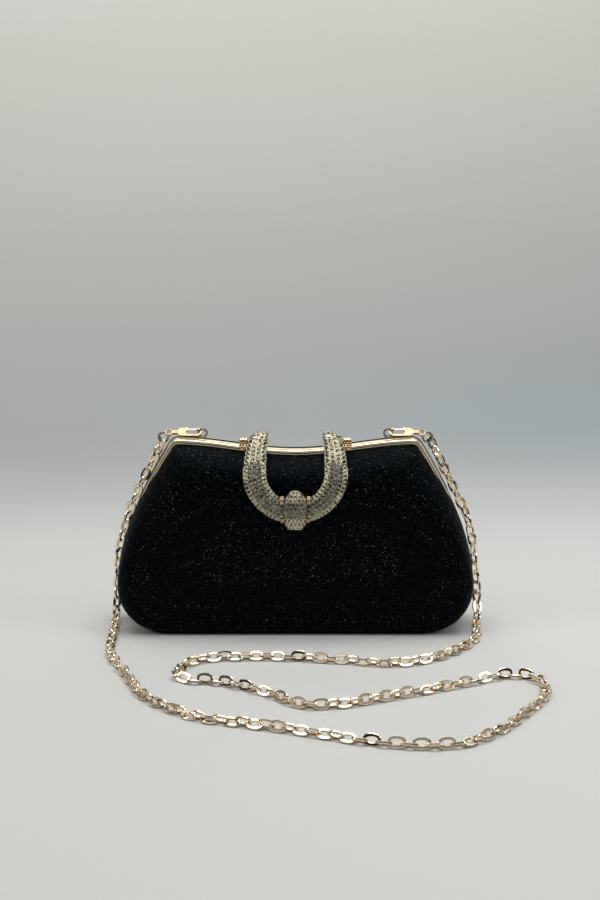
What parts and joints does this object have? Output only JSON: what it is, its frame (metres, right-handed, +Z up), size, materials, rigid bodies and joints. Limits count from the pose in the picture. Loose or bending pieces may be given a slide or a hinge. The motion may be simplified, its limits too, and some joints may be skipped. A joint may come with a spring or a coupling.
{
  "type": "evening bag",
  "caption": "Hard-shell frame clutch with a saddle top, jewelled horseshoe clasp and a long chain strap that lies in an S in front of it.",
  "frame": {"origin": "centre of the flat bottom, on the seam plane between the two halves", "axes": "+Z up, +X along the bag's width to the right of someone facing its front, the front faces -Y"},
  "size_m": [0.2573, 0.2089, 0.1258],
  "materials": {
    "glitter_fabric": "black glitter cloth",
    "shell_board": "moulded shell core",
    "satin": "black satin lining",
    "rail_gold": "polished pale gold",
    "clasp_gold": "polished pale gold",
    "hardware_gold": "polished gold",
    "chain_gold": "polished gold chain",
    "pin_steel": "gold-plated pins",
    "crystal": "cut stones, foil backed"
  },
  "bodies": {
    "back_half": {"back_cover": "glitter_fabric", "back_core": "shell_board", "back_lining": "satin", "back_rail": "rail_gold", "hinge_rivet_left": "pin_steel", "hinge_rivet_right": "pin_steel", "gusset_left": "satin", "gusset_right": "satin", "bottom_gusset": "satin", "slip_pocket": "satin", "ring_base_left": "hardware_gold", "ring_base_right": "hardware_gold", "strap_ring_left": "hardware_gold", "strap_ring_right": "hardware_gold", "hook_body_left": "hardware_gold", "hook_body_right": "hardware_gold", "hook_pin_left": "pin_steel", "hook_pin_right": "pin_steel", "hook_spring_left": "pin_steel", "hook_spring_right": "pin_steel", "jump_ring_left": "hardware_gold", "jump_ring_right": "hardware_gold", "strap_chain": "chain_gold"},
    "front_half": {"front_cover": "glitter_fabric", "front_core": "shell_board", "front_lining": "satin", "front_rail": "rail_gold", "clasp_knuckle_left": "hardware_gold", "clasp_knuckle_right": "hardware_gold", "clasp_pin_left": "pin_steel", "clasp_pin_right": "pin_steel"},
    "clasp": {"bow_arm_left": "clasp_gold", "bow_arm_right": "clasp_gold", "bow_stones_left": "crystal", "bow_stones_right": "crystal", "bow_collar_left": "clasp_gold", "bow_collar_right": "clasp_gold", "clasp_crown": "clasp_gold", "crown_stones": "crystal"},
    "trigger_left": {"hook_trigger_left": "hardware_gold"},
    "trigger_right": {"hook_trigger_right": "hardware_gold"}
  },
  "joints": [
    {"name": "front_open", "type": "hinge", "parent": "back_half", "child": "front_half", "pos_m": [0, 0, 0.012], "axis": [1, 0, 0], "range_deg": [0, 40], "deforming": ["gusset_left", "gusset_right", "bottom_gusset"]},
    {"name": "clasp_flip", "type": "hinge", "parent": "front_half", "child": "clasp", "pos_m": [0, -0.0026, 0.1184], "axis": [1, 0, 0], "range_deg": [-80, 0]},
    {"name": "trigger_left_press", "type": "hinge", "parent": "back_half", "child": "trigger_left", "pos_m": [-0.0684, 0.00406, 0.12386], "axis": [0, 0.7071, -0.7071], "range_deg": [0, 20], "stiffness_Nm_per_rad": 0.002, "springref_deg": -5.73},
    {"name": "trigger_right_press", "type": "hinge", "parent": "back_half", "child": "trigger_right", "pos_m": [0.0684, 0.00406, 0.12386], "axis": [0, -0.7071, 0.7071], "range_deg": [0, 20], "stiffness_Nm_per_rad": 0.002, "springref_deg": -5.73}
  ]
}
